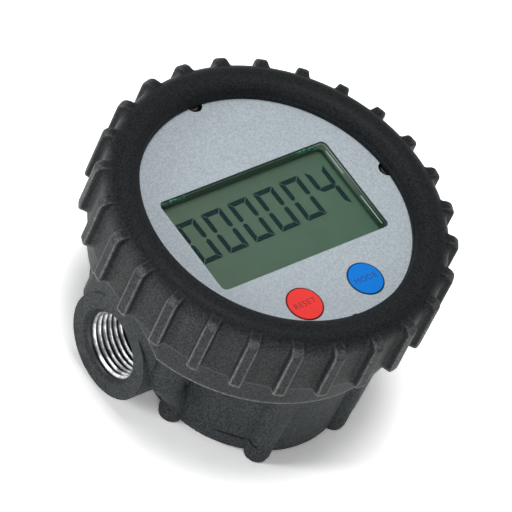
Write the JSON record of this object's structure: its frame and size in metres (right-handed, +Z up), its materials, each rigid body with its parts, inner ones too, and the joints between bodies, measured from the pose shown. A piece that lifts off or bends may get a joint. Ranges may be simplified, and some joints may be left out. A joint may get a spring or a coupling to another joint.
{
  "type": "electronic oil meter",
  "caption": "Round battery display register in a ribbed soft boot on an obround metering body with two in-line threaded ports, geared inside, with two push keys.",
  "frame": {"origin": "on the floor under the middle of the round register, where the screw-head feet stand", "axes": "+Z up out of the display face; +X along the port axis, towards the right of the display's digits; +Y towards the top of the display"},
  "size_m": [0.105, 0.105, 0.0619],
  "materials": {
    "boot_rubber": "satin, finely grained",
    "body_paint": "dark grey textured paint on cast aluminium",
    "cap_paint": "dark grey textured paint on cast aluminium",
    "label_film": "matt silver-grey film",
    "cover_plastic": "matt",
    "clear_pane": "clear",
    "display_glass": "grey-green display",
    "frame_plastic": "moulded",
    "strip_rubber": "matt",
    "board_laminate": "coated",
    "switch_plastic": "moulded",
    "key_red": "satin",
    "key_blue": "satin",
    "cell_jacket": "plain sleeve",
    "contact_metal": "nickel plated",
    "sensor_plastic": "moulded",
    "register_plastic": "moulded",
    "seal_rubber": "moulded",
    "screw_steel": "blackened steel",
    "inner_steel": "zinc plated",
    "gear_polymer": "filled polymer",
    "bush_metal": "turned",
    "pin_steel": "ground",
    "magnet_metal": "plated"
  },
  "bodies": {
    "housing": {"guard_ring": "boot_rubber", "face_label": "label_film", "register_cover": "cover_plastic", "cover_gasket": "seal_rubber", "lcd_window": "clear_pane", "lcd_panel": "display_glass", "lcd_frame": "frame_plastic", "contact_strips": "strip_rubber", "circuit_board": "board_laminate", "board_screws": "inner_steel", "key_switches": "switch_plastic", "battery_front": "cell_jacket", "battery_rear": "cell_jacket", "battery_holder": "switch_plastic", "battery_contacts": "contact_metal", "pulse_sensor": "sensor_plastic", "register_base": "register_plastic", "register_screws": "inner_steel", "register_seal": "seal_rubber", "meter_body": "body_paint", "chamber_seal": "seal_rubber", "bottom_cap": "cap_paint", "cap_screws": "screw_steel", "drive_pin": "pin_steel", "idle_pin": "pin_steel"},
    "drive_rotor": {"drive_gear": "gear_polymer", "drive_bush": "bush_metal", "gear_magnets": "magnet_metal"},
    "idle_rotor": {"idle_gear": "gear_polymer", "idle_bush": "bush_metal"},
    "reset_key": {"reset_button": "key_red"},
    "total_key": {"total_button": "key_blue"}
  },
  "joints": [
    {"name": "drive_gear_spin", "type": "hinge", "parent": "housing", "child": "drive_rotor", "pos_m": [0, 0.015, 0.0152], "axis": [0, 0, 1], "continuous": true},
    {"name": "idle_gear_spin", "type": "hinge", "parent": "housing", "child": "idle_rotor", "pos_m": [0, -0.015, 0.0152], "axis": [0, 0, 1], "continuous": true},
    {"name": "reset_press", "type": "slide", "parent": "housing", "child": "reset_key", "axis": [0, 0, -1], "range_m": [0, 0.0004], "stiffness_N_per_m": 1500},
    {"name": "total_press", "type": "slide", "parent": "housing", "child": "total_key", "axis": [0, 0, -1], "range_m": [0, 0.0004], "stiffness_N_per_m": 1500}
  ],
  "couplings": [
    {"joint": "idle_gear_spin", "follows": "drive_gear_spin", "ratio": -1}
  ]
}
